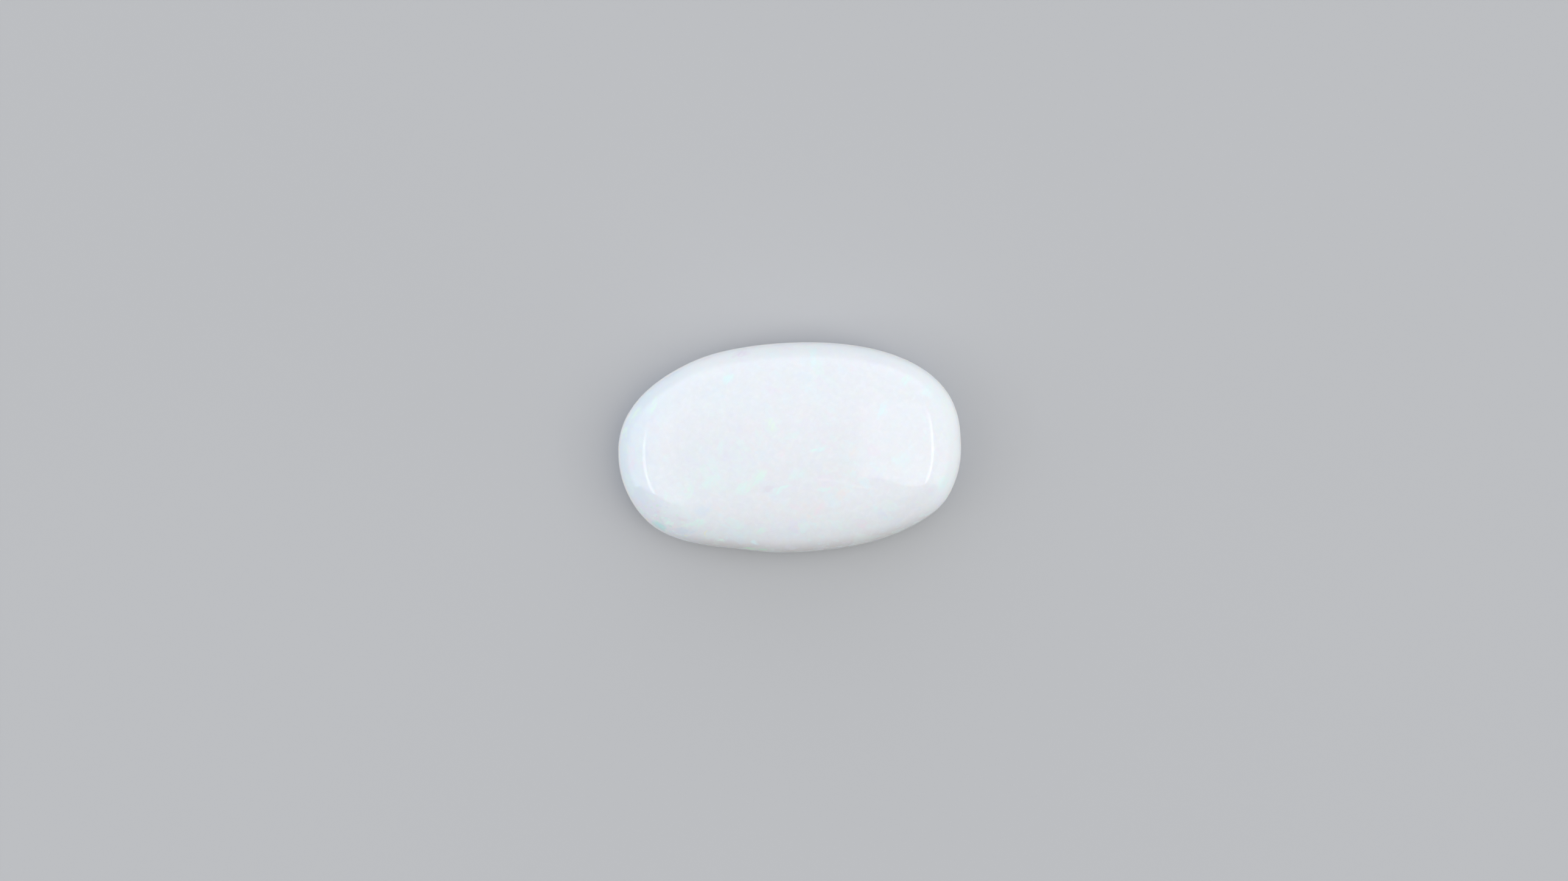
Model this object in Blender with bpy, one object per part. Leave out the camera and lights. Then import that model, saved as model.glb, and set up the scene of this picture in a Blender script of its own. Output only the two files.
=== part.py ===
"""A hand-cut oval cabochon of milky opal, resting on its ground-flat back with the polished dome up.

Metres, +Z up. The origin is on the flat back, under the middle of the stone's outline, and +X runs
along the stone towards its squarer end.
"""

import math

import bmesh
import bpy
from mathutils import Vector

# Driving dimensions of the stone
LENGTH = 0.0250
WIDTH = 0.0153
HEIGHT = 0.0062
GIRDLE_HEIGHT = 0.0016  # the widest line, above the flat back

# Outline, seen from above. A fullness of 2 is an ellipse, and more squares its corners.
FULLNESS = 2.30
FULLER_END = 0.11  # added towards +X, taken off towards -X
FULLER_FRONT = 0.13  # added towards -Y, taken off towards +Y
# Grinding by hand left it fuller (+) or flatter (-) in places: angle, height, spread of each.
OUTLINE_SWELLS = (
    (math.radians(130), 0.00008, math.radians(14)),
    (math.radians(208), 0.00026, math.radians(12)),
    (math.radians(238), -0.00026, math.radians(17)),
    (math.radians(336), 0.00012, math.radians(7)),
)

# Dome and underside
CROWN_OFFSET_X = 0.0016  # the highest point, from the middle of the outline
CROWN_OFFSET_Y = 0.0003
DOME_FULLNESS = 2.3
BACK_INSET = 0.0008  # how far the underside curls in, from the girdle to the flat back
BACK_CURL = math.radians(62)  # and how much of a quarter turn it makes on the way
BACK_EDGE_BEVEL = 0.00025
GIRDLE_WAVER = 0.00010  # the girdle line rises and falls by this much round the stone
POLISH_WAVE = 0.000035  # low swells left by polishing by hand
POLISH_WAVE_LENGTH = 0.0090

# Mesh
GRID = 32  # squares along each edge of the cube that the stone is shaped from
UNDERSIDE_ROWS = 4
UNDERSIDE_DEPTH = 2 * UNDERSIDE_ROWS / GRID  # of those rows, on a cube that reaches from -1 to 1
BACK_BEVEL_STEPS = 3

OPAL_COLOUR = (0.83, 0.87, 0.91, 1.0)
OPAL_ROUGHNESS = 0.08


def clear_scene():
    for old in list(bpy.data.objects):
        bpy.data.objects.remove(old)


def outline_radius(angle):
    """Distance from the middle of the stone to its girdle, seen from above."""
    fullness = FULLNESS + FULLER_END * math.cos(angle) - FULLER_FRONT * math.sin(angle)
    along = abs(math.cos(angle)) / (LENGTH / 2)
    across = abs(math.sin(angle)) / (WIDTH / 2)
    radius = (along**fullness + across**fullness) ** (-1 / fullness)
    for centre, height, spread in OUTLINE_SWELLS:
        away = math.remainder(angle - centre, math.tau) / spread
        radius += height * math.exp(-away * away)
    return radius


def girdle_height(angle):
    return GIRDLE_HEIGHT + GIRDLE_WAVER * math.sin(2 * angle + 0.8)


def polish_swell(x, y):
    """Height of the hand-polishing swells at a point of the dome."""
    turns = math.tau / POLISH_WAVE_LENGTH
    along = math.sin(turns * x + 0.9) * math.cos(0.7 * turns * y + 0.4)
    across = math.sin(0.6 * turns * x - 1.3 * turns * y)
    return POLISH_WAVE * (along + 0.6 * across)


def dome_point(angle, level):
    """A point above the girdle. Its level is 0 at the girdle and 1 at the crown."""
    share = (1 - level * level) ** (1 / DOME_FULLNESS)
    rise = level ** (2 / DOME_FULLNESS)
    centred = 1 - share * share
    reach = share * outline_radius(angle)
    x = reach * math.cos(angle) + CROWN_OFFSET_X * centred
    y = reach * math.sin(angle) + CROWN_OFFSET_Y * centred
    foot = GIRDLE_HEIGHT * centred + girdle_height(angle) * (1 - centred)
    return x, y, foot + (HEIGHT - GIRDLE_HEIGHT) * rise + polish_swell(x, y) * centred


def underside_point(angle, down):
    """A point below the girdle. Its way down is 0 at the girdle and 1 at the flat back."""
    turn = BACK_CURL * down
    inset = BACK_INSET * (1 - math.cos(turn)) / (1 - math.cos(BACK_CURL))
    reach = outline_radius(angle) - inset
    height = girdle_height(angle) * (1 - math.sin(turn) / math.sin(BACK_CURL))
    return reach * math.cos(angle), reach * math.sin(angle), height


def stone_point(grid_point):
    """Where a point of the cube's grid goes. The cube's middle becomes the girdle."""
    swollen = Vector([math.tan(value * math.pi / 4) for value in grid_point])
    angle = math.atan2(WIDTH * swollen.y, LENGTH * swollen.x)
    if grid_point.z < 0:
        return underside_point(angle, -grid_point.z / UNDERSIDE_DEPTH)
    return dome_point(angle, min(1.0, swollen.normalized().z))


def make_grid(bm):
    """A cube's grid has no pole, so no fan of thin faces meets at the crown. Its foot is one face."""
    bmesh.ops.create_cube(bm, size=2.0)
    bmesh.ops.subdivide_edges(bm, edges=bm.edges[:], cuts=GRID - 1, use_grid_fill=True)
    lowest = -UNDERSIDE_DEPTH - 1 / GRID
    below = [vertex for vertex in bm.verts if vertex.co.z < lowest]
    bmesh.ops.delete(bm, geom=below, context="VERTS")
    rim = [edge for edge in bm.edges if edge.is_boundary]
    foot = bmesh.ops.contextual_create(bm, geom=rim)["faces"]
    bmesh.ops.recalc_face_normals(bm, faces=bm.faces[:])
    return foot[0]


def soften_back_edge(bm, back):
    for face in bm.faces:
        face.smooth = face is not back
    bmesh.ops.bevel(
        bm,
        geom=back.edges[:],
        offset=BACK_EDGE_BEVEL,
        offset_type="OFFSET",
        segments=BACK_BEVEL_STEPS,
        profile=0.5,
        material=-1,
        affect="EDGES",
    )


def settle_on_origin(bm):
    """Puts the middle of the stone's box over the origin, with its back at Z 0 and its top at HEIGHT."""
    low = [min(v.co[i] for v in bm.verts) for i in range(3)]
    high = [max(v.co[i] for v in bm.verts) for i in range(3)]
    size = [top - bottom for bottom, top in zip(low, high)]
    middle = ((low[0] + high[0]) / 2, (low[1] + high[1]) / 2, low[2])
    bmesh.ops.translate(bm, vec=[-value for value in middle], verts=bm.verts[:])
    fit = (LENGTH / size[0], WIDTH / size[1], HEIGHT / size[2])
    bmesh.ops.scale(bm, vec=fit, verts=bm.verts[:])


def opal_material():
    material = bpy.data.materials.new("milky opal")
    material.use_nodes = True
    shader = material.node_tree.nodes["Principled BSDF"]
    shader.inputs["Base Color"].default_value = OPAL_COLOUR
    shader.inputs["Roughness"].default_value = OPAL_ROUGHNESS
    shader.inputs["Metallic"].default_value = 0.0
    return material


def make_opal(collection):
    bm = bmesh.new()
    back = make_grid(bm)
    for vertex in bm.verts:
        vertex.co = stone_point(vertex.co)
    bm.normal_update()
    soften_back_edge(bm, back)
    settle_on_origin(bm)
    mesh = bpy.data.meshes.new("opal")
    bm.to_mesh(mesh)
    bm.free()
    mesh.materials.append(opal_material())
    opal = bpy.data.objects.new("opal", mesh)
    collection.objects.link(opal)
    return opal


def main():
    clear_scene()
    collection = bpy.data.collections.new("opal cabochon")
    bpy.context.scene.collection.children.link(collection)
    make_opal(collection)


main()
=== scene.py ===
import math
import random

import bmesh
import bpy
from mathutils import Euler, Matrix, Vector


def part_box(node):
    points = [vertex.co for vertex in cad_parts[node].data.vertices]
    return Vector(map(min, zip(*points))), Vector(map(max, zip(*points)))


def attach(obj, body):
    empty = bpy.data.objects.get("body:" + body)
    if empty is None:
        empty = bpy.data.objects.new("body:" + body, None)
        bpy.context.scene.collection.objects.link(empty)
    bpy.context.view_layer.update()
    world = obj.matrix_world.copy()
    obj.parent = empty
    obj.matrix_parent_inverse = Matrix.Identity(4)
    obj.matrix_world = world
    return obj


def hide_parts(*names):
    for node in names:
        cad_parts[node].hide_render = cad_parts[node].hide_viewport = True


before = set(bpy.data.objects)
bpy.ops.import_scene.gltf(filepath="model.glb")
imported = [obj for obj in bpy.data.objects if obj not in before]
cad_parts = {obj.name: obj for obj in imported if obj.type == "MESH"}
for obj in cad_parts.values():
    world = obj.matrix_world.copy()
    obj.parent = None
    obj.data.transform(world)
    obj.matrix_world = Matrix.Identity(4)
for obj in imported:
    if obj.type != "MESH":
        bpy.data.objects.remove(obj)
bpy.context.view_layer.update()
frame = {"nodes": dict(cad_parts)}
print("frame loaded:", ", ".join(frame["nodes"]))

mm = 0.001


# Short ways to add and join shader nodes
def addNode(tree, kind, inputs=None, **settings):
    made = tree.nodes.new(kind)
    for name, value in settings.items():
        setattr(made, name, value)
    for name, value in (inputs or {}).items():
        if isinstance(value, bpy.types.NodeSocket):
            tree.links.new(value, made.inputs[name])
        else:
            made.inputs[name].default_value = value
    return made


def calc(tree, operation, *values):
    inputs = dict(enumerate(values))
    return addNode(tree, "ShaderNodeMath", inputs, operation=operation).outputs[0]


def moveVector(tree, operation, *values):
    inputs = dict(enumerate(values))
    return addNode(tree, "ShaderNodeVectorMath", inputs, operation=operation).outputs[0]


def smoothStep(tree, value, low, high, start=0.0, end=1.0):
    inputs = {"Value": value, "From Min": low, "From Max": high, "To Min": start, "To Max": end}
    made = addNode(tree, "ShaderNodeMapRange", inputs, interpolation_type="SMOOTHSTEP")
    return made.outputs["Result"]


def curve(tree, value, points):
    made = addNode(tree, "ShaderNodeFloatCurve", {"Value": value})
    made.mapping.use_clip = False
    line = made.mapping.curves[0].points
    line[0].location, line[-1].location = points[0], points[-1]
    for x, y in points[1:-1]:
        line.new(x, y)
    made.mapping.update()
    return made.outputs[0]


def blendColour(tree, share, first, second):
    inputs = {"Factor": share, 6: first, 7: second}
    return addNode(tree, "ShaderNodeMix", inputs, data_type="RGBA").outputs[2]


def noise(tree, vector, scale, detail=2.0, roughness=0.5, distortion=0.0, output="Factor"):
    inputs = {
        "Vector": vector,
        "Scale": scale,
        "Detail": detail,
        "Roughness": roughness,
        "Distortion": distortion,
    }
    made = addNode(tree, "ShaderNodeTexNoise", inputs)
    return made.outputs[0 if output == "Factor" else 1]


# The opal's shape
opal = {
    "squares": 124,  # along each edge of the cube's grid
    "undersideRows": 14,
    "girdleHeight": 1.6 * mm,
    "fullness": 2.30,
    "fullerEnd": 0.11,
    "fullerFront": 0.13,
    "swells": (  # angle, height and spread of each place ground fuller or flatter
        (130, 0.08 * mm, 14),
        (208, 0.26 * mm, 12),
        (238, -0.26 * mm, 17),
        (336, 0.12 * mm, 7),
    ),
    "crownOffset": (1.6 * mm, 0.3 * mm),
    "domeFullness": 2.3,
    "backInset": 0.8 * mm,
    "backCurl": math.radians(62),
    "backBevel": 0.25 * mm,
    "backBevelSteps": 4,
    "girdleWaver": 0.10 * mm,
    "girdlePhase": 0.8,  # where round the stone it rises, in radians
    "polishWave": 0.035 * mm,
    "polishWaveLength": 9.0 * mm,
    "polishPhases": (0.9, 0.4),
    "chips": 22,  # tiny nicks along the girdle and the back's edge
    "chipSize": (0.14 * mm, 0.34 * mm),
    "chipDepth": 0.22,  # of its size
    "chipLow": 0.12 * mm,  # height of those on the back's edge
    "chipLowInset": 0.75,  # of the underside's inset
    "chipStray": (-0.3, 0.2),  # mm that the others lie off the girdle
    "seed": 11,
}
low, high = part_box("opal")
length, width, height = high - low


def outlineRadius(angle):
    fullness = opal["fullness"] + opal["fullerEnd"] * math.cos(angle)
    fullness -= opal["fullerFront"] * math.sin(angle)
    along = abs(math.cos(angle)) / (length / 2)
    across = abs(math.sin(angle)) / (width / 2)
    radius = (along**fullness + across**fullness) ** (-1 / fullness)
    for centre, swell, spread in opal["swells"]:
        away = math.remainder(angle - math.radians(centre), math.tau) / math.radians(spread)
        radius += swell * math.exp(-away * away)
    return radius


def girdleLine(angle):
    return opal["girdleHeight"] + opal["girdleWaver"] * math.sin(2 * angle + opal["girdlePhase"])


def polishSwell(x, y):
    turns = math.tau / opal["polishWaveLength"]
    first, second = opal["polishPhases"]
    along = math.sin(turns * x + first) * math.cos(0.7 * turns * y + second)
    across = math.sin(0.6 * turns * x - 1.3 * turns * y)
    return opal["polishWave"] * (along + 0.6 * across)


def domePoint(angle, level):
    share = (1 - level * level) ** (1 / opal["domeFullness"])
    rise = level ** (2 / opal["domeFullness"])
    centred = 1 - share * share
    reach = share * outlineRadius(angle)
    x = reach * math.cos(angle) + opal["crownOffset"][0] * centred
    y = reach * math.sin(angle) + opal["crownOffset"][1] * centred
    foot = opal["girdleHeight"] * centred + girdleLine(angle) * (1 - centred)
    return Vector((x, y, foot + (height - opal["girdleHeight"]) * rise + polishSwell(x, y) * centred))


def undersidePoint(angle, down):
    turn = opal["backCurl"] * down
    inset = opal["backInset"] * (1 - math.cos(turn)) / (1 - math.cos(opal["backCurl"]))
    reach = outlineRadius(angle) - inset
    level = girdleLine(angle) * (1 - math.sin(turn) / math.sin(opal["backCurl"]))
    return Vector((reach * math.cos(angle), reach * math.sin(angle), level))


def stonePoint(point, depth):
    swollen = Vector([math.tan(value * math.pi / 4) for value in point])
    angle = math.atan2(width * swollen.y, length * swollen.x)
    if point.z < 0:
        return undersidePoint(angle, -point.z / depth)
    return domePoint(angle, min(1.0, swollen.normalized().z))


def shapeStone(bm):  # a cube's grid, so no pole of thin faces shows in the gloss
    depth = 2 * opal["undersideRows"] / opal["squares"]
    bmesh.ops.create_cube(bm, size=2.0)
    bmesh.ops.subdivide_edges(bm, edges=bm.edges[:], cuts=opal["squares"] - 1, use_grid_fill=True)
    below = [v for v in bm.verts if v.co.z < -depth - 1 / opal["squares"]]
    bmesh.ops.delete(bm, geom=below, context="VERTS")
    rim = [e for e in bm.edges if e.is_boundary]
    back = bmesh.ops.contextual_create(bm, geom=rim)["faces"][0]
    for v in bm.verts:
        v.co = stonePoint(v.co, depth)
    bmesh.ops.recalc_face_normals(bm, faces=bm.faces[:])
    bmesh.ops.bevel(
        bm,
        geom=back.edges[:],
        offset=opal["backBevel"],
        offset_type="OFFSET",
        segments=opal["backBevelSteps"],
        profile=0.5,
        material=-1,
        affect="EDGES",
    )


def nickEdges(bm):  # shallow chips, pressed straight in from outside
    dice = random.Random(opal["seed"])
    for chip in range(opal["chips"]):
        angle = dice.uniform(0, math.tau)
        size = dice.uniform(*opal["chipSize"])
        level = dice.choice((opal["chipLow"], girdleLine(angle) + dice.uniform(*opal["chipStray"]) * mm))
        inset = opal["backInset"] * opal["chipLowInset"] if level == opal["chipLow"] else 0
        reach = outlineRadius(angle) - inset
        outward = Vector((math.cos(angle), math.sin(angle), 0))
        centre = outward * reach + Vector((0, 0, level))
        for v in bm.verts:
            away = (v.co - centre).length / size
            if away < 1:
                v.co -= outward * size * opal["chipDepth"] * (1 - away * away) ** 1.5


def fitBox(bm):  # exactly the solid's own box
    lowest = [min(v.co[i] for v in bm.verts) for i in range(3)]
    highest = [max(v.co[i] for v in bm.verts) for i in range(3)]
    middle = [(a + b) / 2 for a, b in zip(lowest[:2], highest[:2])] + [lowest[2]]
    bmesh.ops.translate(bm, vec=[-value for value in middle], verts=bm.verts[:])
    sizes = [b - a for a, b in zip(lowest, highest)]
    bmesh.ops.scale(bm, vec=[a / b for a, b in zip((length, width, height), sizes)], verts=bm.verts[:])


def makeStone():
    bm = bmesh.new()
    shapeStone(bm)
    nickEdges(bm)
    fitBox(bm)
    for face in bm.faces:
        face.smooth = len(face.verts) == 4
    mesh = bpy.data.meshes.new("opalStone")
    bm.to_mesh(mesh)
    bm.free()
    stone = bpy.data.objects.new("opalStone", mesh)
    bpy.context.scene.collection.objects.link(stone)
    return stone


stone = makeStone()
print("stone shaped:", len(stone.data.polygons), "faces")


# The milk. Numbers in a row are where a change starts and ends, and then its strength at each,
# where that isn't 0 and 1. The finish, the fire and the light use the same kind of row.
milk = {
    "body": ((0.85, 0.867, 0.892, 1), (0.84, 0.875, 0.897, 1)),  # lavender milk and bluer milk
    "cloudSize": 4.2 * mm,
    "clouds": (0.36, 0.64),
    "wisp": (0.90, 0.92, 0.95, 1),
    "wispSize": 1.3 * mm,
    "wisps": (0.45, 0.8, 0.0, 0.14),
    "mottleSize": 0.45 * mm,
    "pale": (0.92, 0.938, 0.964, 1),
    "palePatches": (0.47, 0.72, 0.0, 0.32),
    "dull": (0.792, 0.81, 0.836, 1),
    "dullPatches": (0.50, 0.28, 0.0, 0.26),
    "edges": ((0.868, 0.912, 1.0, 1), (0.77, 0.855, 1.0, 1)),  # thin edges look bluer, most at the left; partly painted rim light, lifted lighter and bluer than the milk
    "edgeHeights": (5.0 * mm, 3.0 * mm),
    "notInFront": (-5.5 * mm, -2.5 * mm),
    "leftward": (-5.0 * mm, -11.0 * mm),
    "frontShade": (0.69, 0.675, 0.67, 1),  # painted shade: the edges are greyer along the front, where less light falls
    "frontShadeHeights": (4.4 * mm, 2.6 * mm),
    "alongFront": (-4.5 * mm, -6.8 * mm),
    "ior": 1.48,
    "scatterColours": (1.5, 1.2, 0.95),  # how far red, green and blue light spread, against the reach
    "scatterReach": 0.5 * mm,
}


def milkColourWithPaintedLight(tree, place, split):
    cloud = noise(tree, place, 1 / milk["cloudSize"], 3.0, 0.55, 0.4)
    colour = blendColour(tree, smoothStep(tree, cloud, *milk["clouds"]), *milk["body"])
    wisps = noise(tree, place, 1 / milk["wispSize"], 3.0, 0.6, 0.6)
    colour = blendColour(tree, smoothStep(tree, wisps, *milk["wisps"]), colour, milk["wisp"])
    mottle = noise(tree, place, 1 / milk["mottleSize"], 3.0, 0.6, 0.5)
    colour = blendColour(tree, smoothStep(tree, mottle, *milk["palePatches"]), colour, milk["pale"])
    colour = blendColour(tree, smoothStep(tree, mottle, *milk["dullPatches"]), colour, milk["dull"])

    # painted rim light: the upper rim is lifted lighter and bluer, partly the milk's own bluish edge, partly
    # standing in for bright side light
    thin = smoothStep(tree, split["Z"], *milk["edgeHeights"])
    thin = calc(tree, "MULTIPLY", thin, smoothStep(tree, split["Y"], *milk["notInFront"]))
    edge = blendColour(tree, smoothStep(tree, split["X"], *milk["leftward"]), *milk["edges"])
    colour = blendColour(tree, thin, colour, edge)
    # painted shade: the front rim's milk is greyed where less light comes from the front
    front = smoothStep(tree, split["Z"], *milk["frontShadeHeights"])
    front = calc(tree, "MULTIPLY", front, smoothStep(tree, split["Y"], *milk["alongFront"]))
    return blendColour(tree, front, colour, milk["frontShade"])


# Play of colour. Each hue is the milk's own colour, pushed towards a spectral one; the grey one is a painted
# reflection.
hues = {
    "green": (0.80, 0.96, 0.89, 1),
    "mint": (0.79, 0.98, 0.90, 1),
    "lime": (0.84, 0.97, 0.85, 1),
    "aqua": (0.80, 0.96, 0.93, 1),
    "cyan": (0.80, 0.94, 0.98, 1),
    "blue": (0.76, 0.84, 0.95, 1),
    "violet": (0.84, 0.81, 0.92, 1),
    "mauve": (0.80, 0.76, 0.82, 1),
    "rose": (0.91, 0.81, 0.88, 1),
    "peach": (0.92, 0.85, 0.83, 1),
    "straw": (0.90, 0.90, 0.70, 1),
    # painted reflection: a greyer tone for the crown, where the camera above and the dim gap between the
    # panels reflect
    "reflectionGrey": (0.85, 0.85, 0.87, 1),
    "slate": (0.72, 0.79, 0.86, 1),
    "teal": (0.56, 0.84, 0.83, 1),
    "leaf": (0.60, 0.92, 0.66, 1),
}
fire = {
    "ramp": ("aqua", "cyan", "aqua", "green", "cyan", "aqua", "cyan", "blue", "violet", "rose", "peach"),
    "speckRamp": ("teal", "mint", "aqua", "slate", "mint", "cyan", "mauve", "aqua", "teal", "leaf", "straw"),
    "ragged": 0.6,  # how far the flakes' edges are torn, in flake sizes
    "layers": (
        {"size": 1.9 * mm, "turn": (0, 0.3, 0.8), "stretch": 1.6, "lit": 0.42, "strength": 0.27},
        {"size": 0.85 * mm, "turn": (0.2, 0, 1.1), "stretch": 1.5, "lit": 0.32, "strength": 0.38},
        {"size": 0.38 * mm, "turn": (0, 0.4, 0.6), "stretch": 2.0, "lit": 0.24, "strength": 0.28},
    ),
    "specks": {"size": 0.17 * mm, "turn": (0.3, 0.2, 0), "stretch": 1.4, "lit": 0.42, "strength": 1.0},
    "towardsFront": (1.0 * mm, -5.5 * mm, 0.85, 1.15),  # the fire is stronger in front
    "patchSize": 6 * mm,
    "patches": (0.35, 0.65, 0.6, 1.3),  # weaker and stronger areas
    "specked": (-9.4 * mm, -5.2 * mm, 4.2 * mm),  # middle and reach of the corner with the finest specks
    "speckedRim": (3.6 * mm, 1.8 * mm, 0.0, 0.55),  # low along the front there are some too
    "corner": (0.79, 0.775, 0.85, 1),  # painted shade: that corner's milk is darker and more lavender, as if a dark ground showed through the thin stone
    "cornerShadeShare": 0.6,
    "flashDepth": 1.2 * mm,
    "flashEdge": (1.25, 0.35),  # from nothing to full, in half lengths from its middle
    "tears": 0.9 * mm,  # size and reach of the tears in a flash's edge
    "strokeTurn": -50,  # fine strokes inside a flash
    "strokeSize": (0.9 * mm, 0.22 * mm, 0.5 * mm),
    "strokes": (0.34, 0.60, 0.40, 1.0),
}
flashes = (  # x and y in mm from the middle, length and breadth in mm, turn in degrees, hue, strength
    (-2.4, -2.0, 1.8, 0.9, 48, "green", 0.9),
    (-1.3, 1.8, 1.2, 0.9, 70, "lime", 0.7),
    (0.2, 0.8, 1.1, 0.5, 20, "aqua", 0.7),
    (2.1, -0.2, 1.3, 0.35, 8, "aqua", 0.9),
    (-0.8, -3.0, 1.7, 0.45, 24, "aqua", 1.0),
    (-1.8, -2.9, 1.1, 0.4, 5, "mauve", 0.6),
    (-3.5, -2.7, 1.3, 0.7, 35, "mint", 0.7),
    (0.4, -2.0, 1.6, 0.8, 15, "aqua", 0.5),
    (1.4, 1.6, 1.2, 0.9, 10, "violet", 0.35),
    (8.7, 4.4, 1.0, 0.7, 60, "aqua", 0.8),
    (10.1, 3.5, 1.1, 1.0, 100, "cyan", 1.0),
    (11.0, -3.2, 1.4, 0.9, 70, "cyan", 1.0),
    (6.9, 2.3, 1.5, 0.8, 60, "cyan", 0.9),
    (-4.2, 5.3, 0.9, 0.8, 80, "aqua", 1.0),
    (2.1, 6.5, 1.6, 0.6, 78, "cyan", 1.0),
    (-9.7, 3.6, 1.8, 0.6, 58, "aqua", 0.9),
    (-11.1, 3.1, 1.6, 0.7, 40, "aqua", 1.0),
    (-11.9, 1.8, 1.2, 0.4, 60, "aqua", 0.9),
    (-11.5, -0.4, 1.6, 0.9, 90, "violet", 0.8),
    (-8.3, 5.7, 2.0, 0.6, 38, "blue", 0.8),
    (-3.2, 7.0, 1.4, 0.5, 12, "violet", 1.0),
    (-5.7, 6.8, 1.2, 0.4, 25, "rose", 0.5),
    (-9.8, -5.1, 1.1, 0.7, -35, "teal", 0.8),
    (-9.0, -5.0, 1.0, 0.5, -10, "mint", 1.0),
    (-6.8, -5.0, 1.0, 0.6, 20, "mint", 1.0),
    (-7.6, -5.2, 1.4, 0.3, 20, "mint", 0.7),
    (-8.1, -4.7, 1.4, 0.4, -20, "mauve", 0.5),
    # painted shade: a blue-grey shadow zone low in the front-left corner
    (-7.9, -5.6, 1.8, 0.5, 0, "slate", 0.7),
    (-10.6, -4.6, 0.5, 0.3, -60, "straw", 1.0),
    (-11.1, -3.9, 0.8, 0.25, -45, "aqua", 1.0),
    (-6.4, -5.8, 0.45, 0.18, 80, "straw", 0.7),
    (-5.4, -6.4, 0.6, 0.25, 10, "mint", 0.9),
    (-3.0, -6.6, 0.8, 0.3, -25, "cyan", 0.9),
    (-6.4, -4.1, 1.6, 0.8, 10, "blue", 0.6),
    (-0.6, -0.3, 0.8, 0.6, 20, "rose", 0.5),
    (1.9, -4.5, 1.4, 0.5, 42, "rose", 0.5),
    (3.6, -3.6, 1.4, 0.8, 30, "peach", 0.5),
    (4.5, -0.6, 1.0, 0.7, 40, "peach", 0.4),
    # painted reflection: greyer patch near the crown, of the camera and the dim gap between the panels
    (2.7, 1.0, 1.7, 1.2, 20, "reflectionGrey", 0.5),
    (-2.4, -5.9, 0.9, 0.5, 15, "green", 1.0),
    (-3.4, -7.2, 0.9, 0.25, -2, "leaf", 0.8),
    (-2.4, -7.3, 0.8, 0.2, 0, "leaf", 0.6),
    (-7.4, -2.8, 1.3, 0.6, 65, "green", 0.8),
    (-5.9, -2.2, 1.6, 0.8, 35, "aqua", 0.7),
    (-5.0, 0.4, 1.3, 0.6, 70, "aqua", 0.6),
    (2.3, -3.1, 1.2, 0.4, 12, "aqua", 0.8),
    (8.0, -1.3, 1.9, 1.2, 20, "cyan", 0.5),
)


flake = {  # sizes here are in flakes
    "tearScale": 2.3,
    "fadeIn": 0.10,  # the last flakes to be lit are faint
    "border": 0.14,
    "spin": 6.28,  # each flake's grain has a turn of its own, in radians
    "grainScale": (1.1, 5.0, 2.0),
    "grain": (0.30, 0.62, 0.45, 1.0),
    "dimmest": 0.45,  # of full strength
}


def flakeGroup():  # flakes of one size: where they lie and which hue each has
    tree = bpy.data.node_groups.new("opal flakes", "ShaderNodeTree")
    tree.interface.new_socket("Vector", in_out="INPUT", socket_type="NodeSocketVector")
    for name in ("Lit", "Ragged"):
        tree.interface.new_socket(name, in_out="INPUT", socket_type="NodeSocketFloat")
    for name in ("Mask", "Hue"):
        tree.interface.new_socket(name, in_out="OUTPUT", socket_type="NodeSocketFloat")
    given = addNode(tree, "NodeGroupInput").outputs
    rough = noise(tree, given["Vector"], flake["tearScale"], 4.0, 0.7, output="Color")
    shift = moveVector(tree, "SUBTRACT", rough, (0.5, 0.5, 0.5))
    amount = {0: shift, "Scale": given["Ragged"]}
    push = addNode(tree, "ShaderNodeVectorMath", amount, operation="SCALE").outputs[0]
    torn = moveVector(tree, "ADD", given["Vector"], push)
    cells = {"Vector": torn, "Scale": 1.0}
    cell = addNode(tree, "ShaderNodeTexVoronoi", cells)
    border = addNode(tree, "ShaderNodeTexVoronoi", cells, feature="DISTANCE_TO_EDGE")
    chance = addNode(tree, "ShaderNodeSeparateColor", {0: cell.outputs["Color"]}).outputs
    least = calc(tree, "SUBTRACT", 1.0, given["Lit"])
    lit = smoothStep(tree, chance[0], least, calc(tree, "ADD", least, flake["fadeIn"]))
    edge = smoothStep(tree, border.outputs["Distance"], 0.0, flake["border"])
    spin = {"Vector": given["Vector"], "Angle": calc(tree, "MULTIPLY", chance[1], flake["spin"])}
    spun = addNode(tree, "ShaderNodeVectorRotate", spin, rotation_type="Z_AXIS").outputs[0]
    drawn = moveVector(tree, "MULTIPLY", spun, flake["grainScale"])
    grain = smoothStep(tree, noise(tree, drawn, 1.0, 2.0), *flake["grain"])
    depth = smoothStep(tree, chance[2], 0.0, 1.0, flake["dimmest"], 1.0)
    mask = calc(tree, "MULTIPLY", calc(tree, "MULTIPLY", lit, edge), calc(tree, "MULTIPLY", grain, depth))
    addNode(tree, "NodeGroupOutput", {"Mask": mask, "Hue": chance[1]})
    return tree


def hueRamp(tree, value, names):
    ramp = addNode(tree, "ShaderNodeValToRGB", {0: value})
    stops = ramp.color_ramp.elements
    stops[0].color = hues[names[0]]
    stops[1].color = hues[names[-1]]
    for number, name in enumerate(names[1:-1], start=1):
        stops.new(number / (len(names) - 1)).color = hues[name]
    return ramp.outputs[0]


def domeHeight(x, y):
    share = min(1.0, math.hypot(x, y) / outlineRadius(math.atan2(y, x)))
    rise = (1 - share ** opal["domeFullness"]) ** (1 / opal["domeFullness"])
    return opal["girdleHeight"] + (height - opal["girdleHeight"]) * rise


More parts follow.
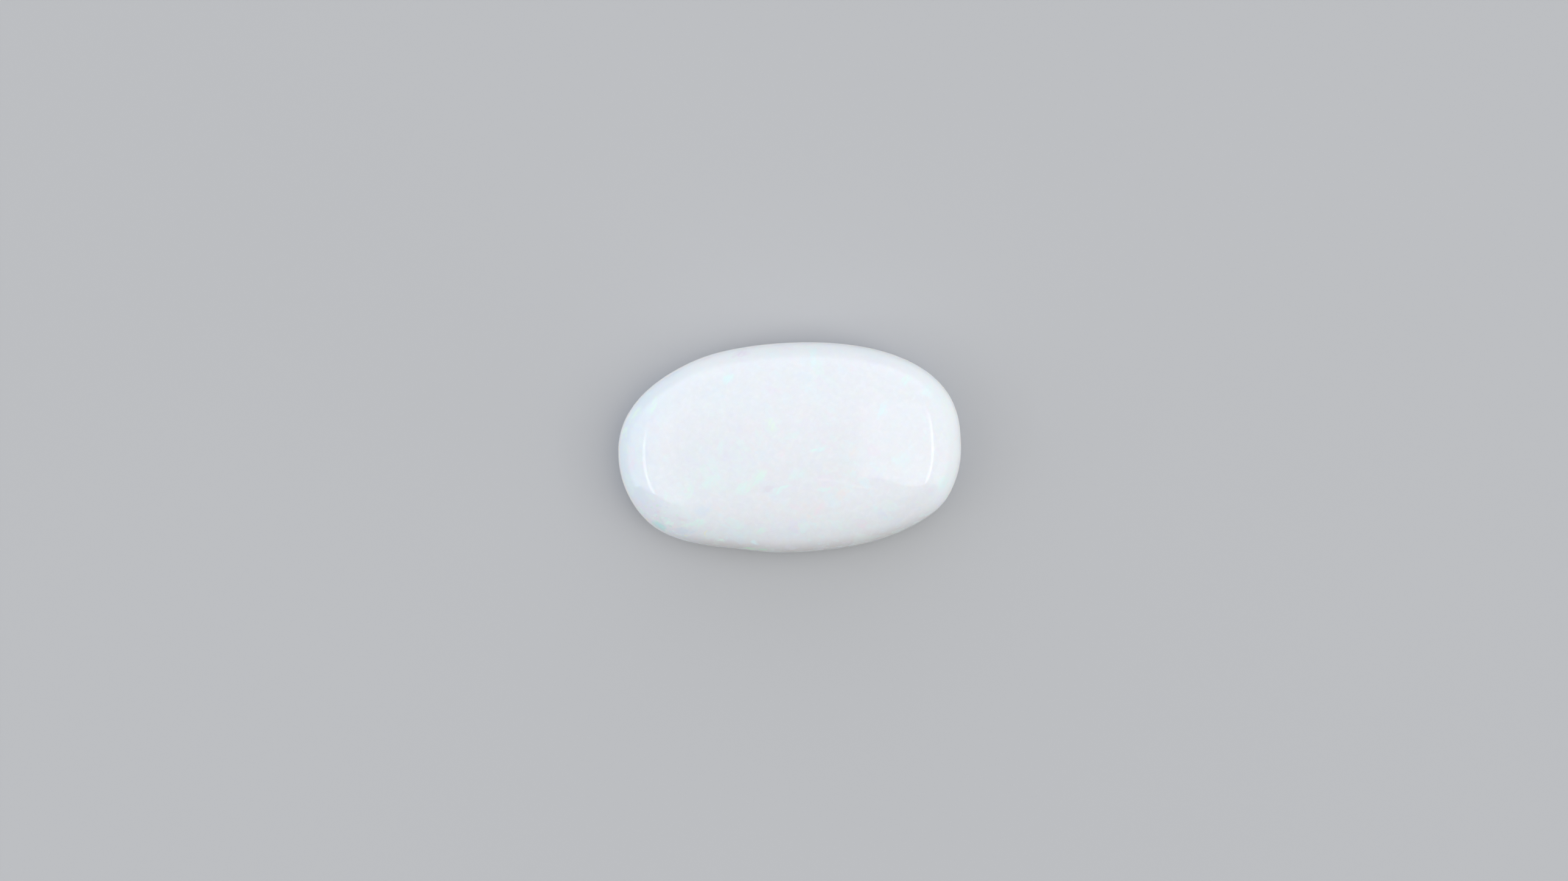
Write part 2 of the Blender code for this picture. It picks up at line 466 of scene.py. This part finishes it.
def flashMask(tree, place, grain, x, y, long, broad, turn):  # a grain just under the dome's surface
    mapped = addNode(
        tree,
        "ShaderNodeMapping",
        {
            "Vector": place,
            "Location": (x * mm, y * mm, domeHeight(x * mm, y * mm)),
            "Rotation": (0, 0, math.radians(turn)),
            "Scale": (long * mm / 2, broad * mm / 2, fire["flashDepth"]),
        },
        vector_type="TEXTURE",
    ).outputs[0]
    away = addNode(tree, "ShaderNodeVectorMath", {0: mapped}, operation="LENGTH").outputs["Value"]
    return calc(tree, "MULTIPLY", smoothStep(tree, away, *fire["flashEdge"]), grain)


def slanting(tree, place, turn, sizes):  # for marks that are long one way
    mapped = {"Vector": place, "Rotation": (0, 0, math.radians(turn))}
    slanted = addNode(tree, "ShaderNodeMapping", mapped).outputs[0]
    return moveVector(tree, "MULTIPLY", slanted, [1 / size for size in sizes])


def addFlakes(tree, place, split, colour):
    front = smoothStep(tree, split["Y"], *fire["towardsFront"])
    patches = smoothStep(tree, noise(tree, place, 1 / fire["patchSize"], 1.0), *fire["patches"])
    lively = calc(tree, "MULTIPLY", front, patches)

    east, north, reach = fire["specked"]
    apart = moveVector(tree, "SUBTRACT", place, (east, north, opal["girdleHeight"]))
    apart = addNode(tree, "ShaderNodeVectorMath", {0: apart}, operation="LENGTH").outputs["Value"]
    corner = smoothStep(tree, apart, reach, 0.3 * reach)
    # painted shade: darkens the corner's milk towards lavender
    colour = blendColour(tree, calc(tree, "MULTIPLY", corner, fire["cornerShadeShare"]), colour, fire["corner"])
    alongFront = smoothStep(tree, split["Y"], *milk["alongFront"])
    rim = calc(tree, "MULTIPLY", alongFront, smoothStep(tree, split["Z"], *fire["speckedRim"]))
    specked = calc(tree, "MAXIMUM", corner, rim)

    group = flakeGroup()
    for number, layer in enumerate(fire["layers"] + (fire["specks"],)):
        offset = (number * 0.013, 0.007, number * 0.021)  # so that no two layers share their cells
        mapped = {"Vector": place, "Location": offset, "Rotation": layer["turn"]}
        turned = addNode(tree, "ShaderNodeMapping", mapped).outputs[0]
        across = 1 / layer["size"]
        spread = moveVector(tree, "MULTIPLY", turned, (across / layer["stretch"], across, across))
        inputs = {"Vector": spread, "Lit": layer["lit"], "Ragged": fire["ragged"]}
        flakes = addNode(tree, "ShaderNodeGroup", inputs, node_tree=group)
        where, names = (specked, "speckRamp") if layer is fire["specks"] else (lively, "ramp")
        strength = calc(tree, "MULTIPLY", where, layer["strength"])
        share = calc(tree, "MULTIPLY", flakes.outputs["Mask"], strength)
        colour = blendColour(tree, share, colour, hueRamp(tree, flakes.outputs["Hue"], fire[names]))
    return colour


def addFlashes(tree, place, colour):
    wobble = noise(tree, place, 1 / fire["tears"], 3.0, 0.6, output="Color")
    centred = moveVector(tree, "SUBTRACT", wobble, (0.5, 0.5, 0.5))
    torn = moveVector(tree, "ADD", place, moveVector(tree, "MULTIPLY", centred, (fire["tears"],) * 3))
    strokes = slanting(tree, place, fire["strokeTurn"], fire["strokeSize"])
    grain = smoothStep(tree, noise(tree, strokes, 1.0, 2.0, 0.6), *fire["strokes"])
    for x, y, long, broad, turn, hue, strength in flashes:
        mask = flashMask(tree, torn, grain, x, y, long, broad, turn)
        colour = blendColour(tree, calc(tree, "MULTIPLY", mask, strength), colour, hues[hue])
    return colour


# The finish. The dome was polished, and the girdle, the underside and the back only ground.
finish = {
    "girdle": (0.93, 0.95, 0.985, 1),
    "bandTop": (2.75 * mm, 2.25 * mm),  # heights where the matt girdle fades in
    "bandFoot": (0.60 * mm, 1.50 * mm),  # and out again
    "bandWaver": 0.5 * mm,
    "bandWaverSize": 1.1 * mm,
    "bandFront": (-6.5 * mm, -3.5 * mm, 0.2, 1.0),  # it is weaker along the front
    "bandPatchSize": 0.7 * mm,
    "bandPatches": (0.3, 0.6, 0.5, 0.85),
    "under": (1.5 * mm, 0.9 * mm),  # heights where the underside's finish starts, and then the back's
    "back": (0.10 * mm, 0.02 * mm),
    "hazeSize": 2.5 * mm,
    "haze": (0.3, 0.7, 0.02, 0.05),  # the dome's roughness
    "underRoughness": 0.16,
    "bandRoughness": 0.26,
    "backRoughness": 0.42,
    "relief": 0.012 * mm,  # depth of the grinding marks
    "underRelief": 0.4,  # of that depth
    "gritSize": 0.16 * mm,
    "scoreTurn": 35,
    "scoreSize": (2.6 * mm, 0.09 * mm, 0.3 * mm),
    "hairlineTurn": 84,
    "hairlineSize": (5.0 * mm, 0.13 * mm, 5.0 * mm),
    "hairlines": 0.02,  # of that depth, on the polished dome
}


def groundBand(tree, place, split):
    uneven = noise(tree, place, 1 / finish["bandWaverSize"], 3.0, 0.6)
    uneven = calc(tree, "MULTIPLY", calc(tree, "SUBTRACT", uneven, 0.5), finish["bandWaver"])
    girdle = calc(tree, "ADD", split["Z"], uneven)
    top = smoothStep(tree, girdle, *finish["bandTop"])
    band = calc(tree, "MULTIPLY", top, smoothStep(tree, girdle, *finish["bandFoot"]))
    return calc(tree, "MULTIPLY", band, smoothStep(tree, split["Y"], *finish["bandFront"]))


def roughnessOf(tree, place, band, under, back):
    haze = noise(tree, place, 1 / finish["hazeSize"], 3.0)
    rough = smoothStep(tree, haze, *finish["haze"])
    for where, name in ((under, "underRoughness"), (band, "bandRoughness"), (back, "backRoughness")):
        rough = addNode(tree, "ShaderNodeMix", {0: where, 2: rough, 3: finish[name]}).outputs[0]
    return rough


def reliefOf(tree, place, band, under, back):
    ground = calc(tree, "MAXIMUM", band, back)
    ground = calc(tree, "MAXIMUM", ground, calc(tree, "MULTIPLY", under, finish["underRelief"]))
    grit = noise(tree, place, 1 / finish["gritSize"], 4.0, 0.6)
    scored = slanting(tree, place, finish["scoreTurn"], finish["scoreSize"])
    marks = calc(tree, "ADD", grit, noise(tree, scored, 1.0, 3.0, 0.6))
    fine = slanting(tree, place, finish["hairlineTurn"], finish["hairlineSize"])
    hairlines = calc(tree, "MULTIPLY", noise(tree, fine, 1.0, 2.0, 0.5), finish["hairlines"])
    return calc(tree, "ADD", calc(tree, "MULTIPLY", marks, ground), hairlines)


def opalMaterial():
    material = bpy.data.materials.new("milkyOpal")
    material.use_nodes = True
    tree = material.node_tree
    shader = tree.nodes["Principled BSDF"]
    place = addNode(tree, "ShaderNodeTexCoord").outputs["Object"]
    split = addNode(tree, "ShaderNodeSeparateXYZ", {0: place}).outputs
    band = groundBand(tree, place, split)
    under = smoothStep(tree, split["Z"], *finish["under"])
    back = smoothStep(tree, split["Z"], *finish["back"])

    colour = milkColourWithPaintedLight(tree, place, split)
    colour = addFlakes(tree, place, split, colour)
    colour = addFlashes(tree, place, colour)
    patchy = noise(tree, place, 1 / finish["bandPatchSize"], 3.0)
    patchy = calc(tree, "MULTIPLY", band, smoothStep(tree, patchy, *finish["bandPatches"]))
    tree.links.new(blendColour(tree, patchy, colour, finish["girdle"]), shader.inputs["Base Color"])
    tree.links.new(roughnessOf(tree, place, band, under, back), shader.inputs["Roughness"])
    marks = reliefOf(tree, place, band, under, back)
    bump = addNode(tree, "ShaderNodeBump", {"Strength": 1.0, "Distance": finish["relief"], "Height": marks})
    tree.links.new(bump.outputs[0], shader.inputs["Normal"])

    shader.inputs["IOR"].default_value = milk["ior"]
    shader.inputs["Subsurface Weight"].default_value = 1.0
    shader.inputs["Subsurface Radius"].default_value = milk["scatterColours"]
    shader.inputs["Subsurface Scale"].default_value = milk["scatterReach"]
    return material


stone.data.materials.append(opalMaterial())
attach(stone, "root")
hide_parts("opal")
print("opal finished")


# Floor, soft light and camera
studio = {
    "floor": (0.50, 0.505, 0.51, 1),
    "floorReach": 3.0,
    "floorClouds": 20.0,  # to a metre
    "floorDarker": 0.97,  # how much of its brightness is left in them
    "floorRoughness": 0.7,
    "backdrop": (0.62, 0.63, 0.64, 1),  # what the camera sees past the floor
    "light": (0.951, 0.961, 0.980, 1),
    "coolLight": (0.934, 0.957, 1.035, 1),  # from the back and the left
    "tentWall": 1.45,  # how far off the side walls are. All lengths of the tent are in ceiling heights.
    "tentFront": (  # where its ceiling ends, from the left wall to the right. The front is open.
        (-1.45, -0.72),
        (-1.00, -0.755),
        (-0.70, -0.71),
        (-0.50, -0.62),
        (0.20, -0.38),
        (0.50, -0.62),
        (1.15, -0.95),
        (1.45, -0.97),
    ),
    "wallFront": (0.22, 0.10),  # how much sooner the left and right walls end lower down
    "lowerDown": (1.0, 0.3),
    "frontBlur": 0.01,
    "tentBack": (0.70, 1.10),  # where its back wall begins
    "rightBox": (0.17, 0.244, 0.31),  # right panel: inner edge, end towards the back, that end's slant
    "rightBlur": 0.05,
    "rightEnd": (0.16, -0.04, 0.45, 1.0),  # how it fades at that end
    "seam": (1.54, 0.10, 0.05, 0.01),  # bright line on ceiling and wall: place, half breadth, shift, blur
    "seamGlow": 2.4,
    "seamFade": (0.75, 0.10),
    "ceiling": 0.65,
    "leftPanel": (-0.05, -1.0, 0.0, 1.77),  # from where to where, and its brightness at each
    "rightPanel": 1.92,
    "rightWall": (0.75, 0.97, 0.70, 1.0),  # dimmer on the wall below the seam
    "panelFall": (0.2, -0.7, 0.76, 1.26),  # the panels are brighter towards the front
    "back": (0.85, 0.05, 0.43, 1.48),  # dim high up, bright at the horizon
    "front": (0.85, 0.15, 0.84, 0.16),  # the other way round
    "strip": ((0.0, -0.41), (0.1, -0.42), (0.17, -0.48), (0.28, -0.58), (0.40, -0.67)),  # a thin bright line
    "stripBreadth": 0.018,
    "stripEnds": (0.06, 0.10),  # over what length each end fades
    "stripGlow": 1.3,
    "cool": (0.5, 1.4),  # from where to where the light turns cool
    "coolSlant": 0.6,  # how much further it reaches on the left
    "least": 0.02,  # keeps the tent's lengths finite at the horizon
    "frameWidth": 114.4 * mm,  # how much of the floor the photograph's width takes in
    "framePixels": 2576,
    "lens": 100,
    "sensor": 36,
    "clipStart": 2 * mm,
    "stoneInFrame": (9.15, -11.65),  # pixels from the middle of the frame
    "frameTurn": -3.3,
}


def makeFloor():
    bm = bmesh.new()
    bmesh.ops.create_grid(bm, x_segments=4, y_segments=4, size=studio["floorReach"])
    mesh = bpy.data.meshes.new("floor")
    bm.to_mesh(mesh)
    bm.free()
    floor = bpy.data.objects.new("floor", mesh)
    bpy.context.scene.collection.objects.link(floor)
    material = bpy.data.materials.new("paleFloor")
    material.use_nodes = True
    tree = material.node_tree
    shader = tree.nodes["Principled BSDF"]
    place = addNode(tree, "ShaderNodeTexCoord").outputs["Object"]
    cloud = noise(tree, place, studio["floorClouds"], 3.0)
    darker = tuple(studio["floorDarker"] * value for value in studio["floor"][:3]) + (1,)
    tree.links.new(blendColour(tree, cloud, studio["floor"], darker), shader.inputs["Base Color"])
    shader.inputs["Roughness"].default_value = studio["floorRoughness"]
    mesh.materials.append(material)
    return floor


def makeLight():  # a white tent, open in front, with a bright panel on each side
    world = bpy.data.worlds.new("studio")
    world.use_nodes = True
    tree = world.node_tree
    sky = tree.nodes["Background"]
    facing = addNode(tree, "ShaderNodeTexCoord").outputs["Generated"]
    split = addNode(tree, "ShaderNodeSeparateXYZ", {0: facing}).outputs
    wall = calc(tree, "DIVIDE", calc(tree, "ABSOLUTE", split["X"]), studio["tentWall"])
    reach = calc(tree, "MAXIMUM", calc(tree, "MAXIMUM", wall, split["Z"]), studio["least"])
    aside = calc(tree, "DIVIDE", split["X"], reach)
    ahead = calc(tree, "DIVIDE", split["Y"], reach)
    level = calc(tree, "DIVIDE", split["Z"], reach)  # 1 on the ceiling, less down a wall

    left = smoothStep(tree, aside, *studio["leftPanel"])
    inner, end, slant = studio["rightBox"]
    blur = studio["rightBlur"]
    near, far, faint, full = studio["rightEnd"]
    slanted = calc(tree, "SUBTRACT", ahead, calc(tree, "MULTIPLY", aside, slant))
    right = smoothStep(tree, aside, inner - blur, inner + blur, 0.0, studio["rightPanel"])
    right = calc(tree, "MULTIPLY", right, smoothStep(tree, slanted, end + near, end + far, faint, full))
    right = calc(tree, "MULTIPLY", right, smoothStep(tree, level, *studio["rightWall"]))

    offCentre, breadth, shift, blur = studio["seam"]
    outward = calc(tree, "DIVIDE", split["X"], calc(tree, "MAXIMUM", split["Z"], studio["least"]))
    outward = calc(tree, "ABSOLUTE", calc(tree, "ADD", outward, shift))
    fromSeam = calc(tree, "ABSOLUTE", calc(tree, "SUBTRACT", outward, offCentre))
    glow = smoothStep(tree, fromSeam, breadth + blur, breadth - blur, 0.0, studio["seamGlow"])
    glow = calc(tree, "MULTIPLY", glow, smoothStep(tree, ahead, *studio["seamFade"]))
    fall = smoothStep(tree, ahead, *studio["panelFall"])
    panels = calc(tree, "MULTIPLY", calc(tree, "ADD", left, right), fall)
    tent = calc(tree, "ADD", calc(tree, "MAXIMUM", panels, studio["ceiling"]), glow)

    rear = smoothStep(tree, split["Z"], *studio["back"])
    toBack = smoothStep(tree, ahead, *studio["tentBack"])
    behind = addNode(tree, "ShaderNodeMix", {0: toBack, 2: tent, 3: rear}).outputs[0]
    side = smoothStep(tree, aside, -1.0, 1.0, *studio["wallFront"])
    sooner = calc(tree, "MULTIPLY", smoothStep(tree, level, *studio["lowerDown"]), side)
    edge = calc(tree, "ADD", curve(tree, aside, studio["tentFront"]), sooner)
    blur = studio["frontBlur"]
    inTent = smoothStep(tree, calc(tree, "SUBTRACT", ahead, edge), -blur, blur)
    before = smoothStep(tree, split["Z"], *studio["front"])
    around = addNode(tree, "ShaderNodeMix", {0: inTent, 2: before, 3: behind}).outputs[0]

    line = calc(tree, "ABSOLUTE", calc(tree, "SUBTRACT", ahead, curve(tree, aside, studio["strip"])))
    onLine = smoothStep(tree, line, studio["stripBreadth"], 0.5 * studio["stripBreadth"])
    first, last = studio["strip"][0][0], studio["strip"][-1][0]
    rise, fade = studio["stripEnds"]
    between = smoothStep(tree, aside, first, first + rise)
    between = calc(tree, "MULTIPLY", between, smoothStep(tree, aside, last, last - fade))
    strip = calc(tree, "MULTIPLY", calc(tree, "MULTIPLY", onLine, between), studio["stripGlow"])
    around = calc(tree, "ADD", around, strip)

    backLeft = calc(tree, "SUBTRACT", ahead, calc(tree, "MULTIPLY", aside, studio["coolSlant"]))
    cool = smoothStep(tree, backLeft, *studio["cool"])
    tint = blendColour(tree, cool, studio["light"], studio["coolLight"])
    seen = addNode(tree, "ShaderNodeLightPath").outputs["Is Camera Ray"]
    strength = addNode(tree, "ShaderNodeMix", {0: seen, 2: around, 3: 1.0}).outputs[0]
    tree.links.new(strength, sky.inputs["Strength"])
    tree.links.new(blendColour(tree, seen, tint, studio["backdrop"]), sky.inputs["Color"])
    bpy.context.scene.world = world


def makeCamera():
    data = bpy.data.cameras.new("camera")
    data.lens = studio["lens"]
    data.sensor_width = studio["sensor"]
    data.clip_start = studio["clipStart"]
    camera = bpy.data.objects.new("camera", data)
    turn = Euler((0, 0, math.radians(studio["frameTurn"])))
    pixel = studio["frameWidth"] / studio["framePixels"]
    aside = Vector((-studio["stoneInFrame"][0] * pixel, -studio["stoneInFrame"][1] * pixel, 0))
    aside.rotate(turn)
    away = studio["frameWidth"] * studio["lens"] / studio["sensor"]
    camera.location = aside + Vector((0, 0, away + opal["girdleHeight"]))
    camera.rotation_euler = turn
    bpy.context.scene.collection.objects.link(camera)
    bpy.context.scene.camera = camera


makeFloor()
makeLight()
makeCamera()
bpy.context.scene.view_settings.view_transform = "Standard"
print("studio ready")
